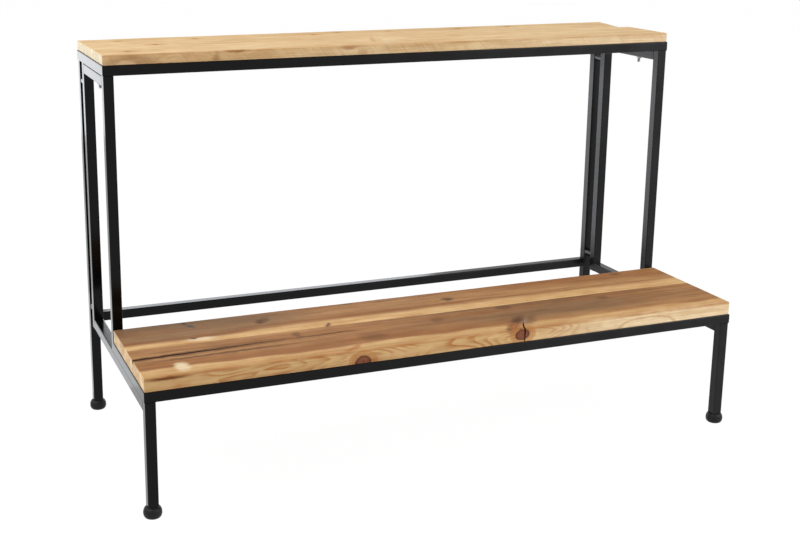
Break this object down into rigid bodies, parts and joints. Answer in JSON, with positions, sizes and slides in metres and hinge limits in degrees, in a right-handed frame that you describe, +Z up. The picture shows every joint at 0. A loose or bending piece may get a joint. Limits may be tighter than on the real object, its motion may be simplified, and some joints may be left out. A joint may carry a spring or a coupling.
{
  "type": "plant shelf",
  "caption": "Stepped two-tier plant shelf: wooden planks on a black square-tube steel frame with round levelling feet; pots stand on a low front step and a high back step.",
  "frame": {"origin": "centre of the bounding box on the floor, under the middle of the shelf", "axes": "+X to the right along the shelves, +Y from the low front step to the high back step, +Z up"},
  "size_m": [1.01, 0.454, 0.6455],
  "materials": {
    "pale_wood": "bare planed softwood, pale honey",
    "worn_wood": "bare reclaimed plank, brown heartwood with pale sapwood stripes",
    "black_steel": "satin black powder coat",
    "black_plastic": "moulded, matte",
    "zinc_steel": "zinc plated"
  },
  "bodies": {
    "frame": {"board_screws": "zinc_steel", "frame_bolts": "black_steel", "frame_nuts": "zinc_steel", "frame_sleeves": "black_steel", "left_back_post": "black_steel", "left_bottom_rail": "black_steel", "left_front_leg": "black_steel", "left_front_post": "black_steel", "left_lower_shelf_end_rail": "black_steel", "left_rear_leg": "black_steel", "left_top_rail": "black_steel", "left_upper_shelf_end_rail": "black_steel", "leg_plugs": "black_plastic", "lower_back_plank": "worn_wood", "lower_front_plank": "worn_wood", "lower_shelf_back_rail": "black_steel", "lower_shelf_front_rail": "black_steel", "rear_cross_rail": "black_steel", "right_back_post": "black_steel", "right_bottom_rail": "black_steel", "right_front_leg": "black_steel", "right_front_post": "black_steel", "right_lower_shelf_end_rail": "black_steel", "right_rear_leg": "black_steel", "right_top_rail": "black_steel", "right_upper_shelf_end_rail": "black_steel", "shelf_bolts": "zinc_steel", "shelf_nuts": "zinc_steel", "shelf_spacers": "black_plastic", "upper_back_plank": "pale_wood", "upper_front_plank": "pale_wood", "upper_shelf_back_rail": "black_steel", "upper_shelf_front_rail": "black_steel"},
    "foot_front_left": {"foot_front_left": "black_plastic"},
    "stud_front_left": {"stud_front_left": "zinc_steel"},
    "foot_front_right": {"foot_front_right": "black_plastic"},
    "stud_front_right": {"stud_front_right": "zinc_steel"},
    "foot_rear_left": {"foot_rear_left": "black_plastic"},
    "stud_rear_left": {"stud_rear_left": "zinc_steel"},
    "foot_rear_right": {"foot_rear_right": "black_plastic"},
    "stud_rear_right": {"stud_rear_right": "zinc_steel"}
  },
  "joints": [
    {"name": "foot_front_left_travel", "type": "slide", "parent": "frame", "child": "foot_front_left", "axis": [0, 0, -1], "range_m": [0, 0.01]},
    {"name": "stud_front_left_turn", "type": "hinge", "parent": "foot_front_left", "child": "stud_front_left", "pos_m": [-0.491, -0.213, 0.004], "axis": [0, 0, -1], "range_deg": [0, 2880]},
    {"name": "foot_front_right_travel", "type": "slide", "parent": "frame", "child": "foot_front_right", "axis": [0, 0, -1], "range_m": [0, 0.01]},
    {"name": "stud_front_right_turn", "type": "hinge", "parent": "foot_front_right", "child": "stud_front_right", "pos_m": [0.491, -0.213, 0.004], "axis": [0, 0, -1], "range_deg": [0, 2880]},
    {"name": "foot_rear_left_travel", "type": "slide", "parent": "frame", "child": "foot_rear_left", "axis": [0, 0, -1], "range_m": [0, 0.01]},
    {"name": "stud_rear_left_turn", "type": "hinge", "parent": "foot_rear_left", "child": "stud_rear_left", "pos_m": [-0.491, 0.213, 0.004], "axis": [0, 0, -1], "range_deg": [0, 2880]},
    {"name": "foot_rear_right_travel", "type": "slide", "parent": "frame", "child": "foot_rear_right", "axis": [0, 0, -1], "range_m": [0, 0.01]},
    {"name": "stud_rear_right_turn", "type": "hinge", "parent": "foot_rear_right", "child": "stud_rear_right", "pos_m": [0.491, 0.213, 0.004], "axis": [0, 0, -1], "range_deg": [0, 2880]}
  ],
  "couplings": [
    {"joint": "foot_front_left_travel", "follows": "stud_front_left_turn", "m_per_rad": 0.00019894},
    {"joint": "foot_front_right_travel", "follows": "stud_front_right_turn", "m_per_rad": 0.00019894},
    {"joint": "foot_rear_left_travel", "follows": "stud_rear_left_turn", "m_per_rad": 0.00019894},
    {"joint": "foot_rear_right_travel", "follows": "stud_rear_right_turn", "m_per_rad": 0.00019894}
  ]
}
